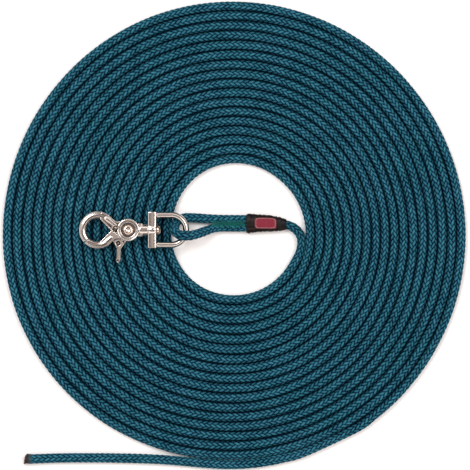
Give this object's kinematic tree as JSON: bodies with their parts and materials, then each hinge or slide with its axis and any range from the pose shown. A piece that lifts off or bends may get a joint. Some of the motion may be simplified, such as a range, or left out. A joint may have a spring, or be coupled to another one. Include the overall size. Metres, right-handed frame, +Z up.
{
  "type": "training leash",
  "caption": "Long round braided training leash laid as a flat coil, with a sewn eye, a swivel ring and a lever-operated scissor snap hook.",
  "frame": {"origin": "on the floor at the middle of the flat coil", "axes": "+Z up, square to the flat coil; -X along the snap hook, from the coil's middle towards the hook's eye"},
  "size_m": [0.2919, 0.292, 0.0187],
  "materials": {
    "cord": "braided polyester, petrol blue",
    "thread": "green sewing thread",
    "sleeve": "dark shrink sleeve, satin",
    "patch": "plain woven patch",
    "melted": "melted cord end",
    "chrome": "polished chrome plate on cast zinc",
    "rivet_steel": "plated steel rivet",
    "spring_steel": "spring wire"
  },
  "bodies": {
    "cord": {"cord_coil": "cord", "lead_cord": "cord", "cord_eye": "cord", "tail_cord": "cord", "sealed_tip": "melted", "seam_thread": "thread", "label_sleeve": "sleeve", "label_patch": "patch"},
    "ring": {"swivel_ring": "chrome"},
    "hook": {"swivel_stud": "rivet_steel", "fixed_jaw": "chrome", "pivot_rivet": "rivet_steel", "return_spring": "spring_steel"},
    "trigger": {"trigger_jaw": "chrome"}
  },
  "joints": [
    {"name": "ring_tilt", "type": "hinge", "parent": "cord", "child": "ring", "pos_m": [-0.0314, 0.0025, 0.0105], "axis": [0, 1, 0], "range_deg": [0, 90]},
    {"name": "swivel", "type": "hinge", "parent": "ring", "child": "hook", "pos_m": [-0.0534, 0.0025, 0.0105], "axis": [1, 0, 0], "range_deg": [-8, 5]},
    {"name": "trigger_press", "type": "hinge", "parent": "hook", "child": "trigger", "pos_m": [-0.0656, 0.0025, 0.0105], "axis": [0, 0, 1], "range_deg": [0, 25], "stiffness_Nm_per_rad": 0.15, "springref_deg": -34.38}
  ]
}
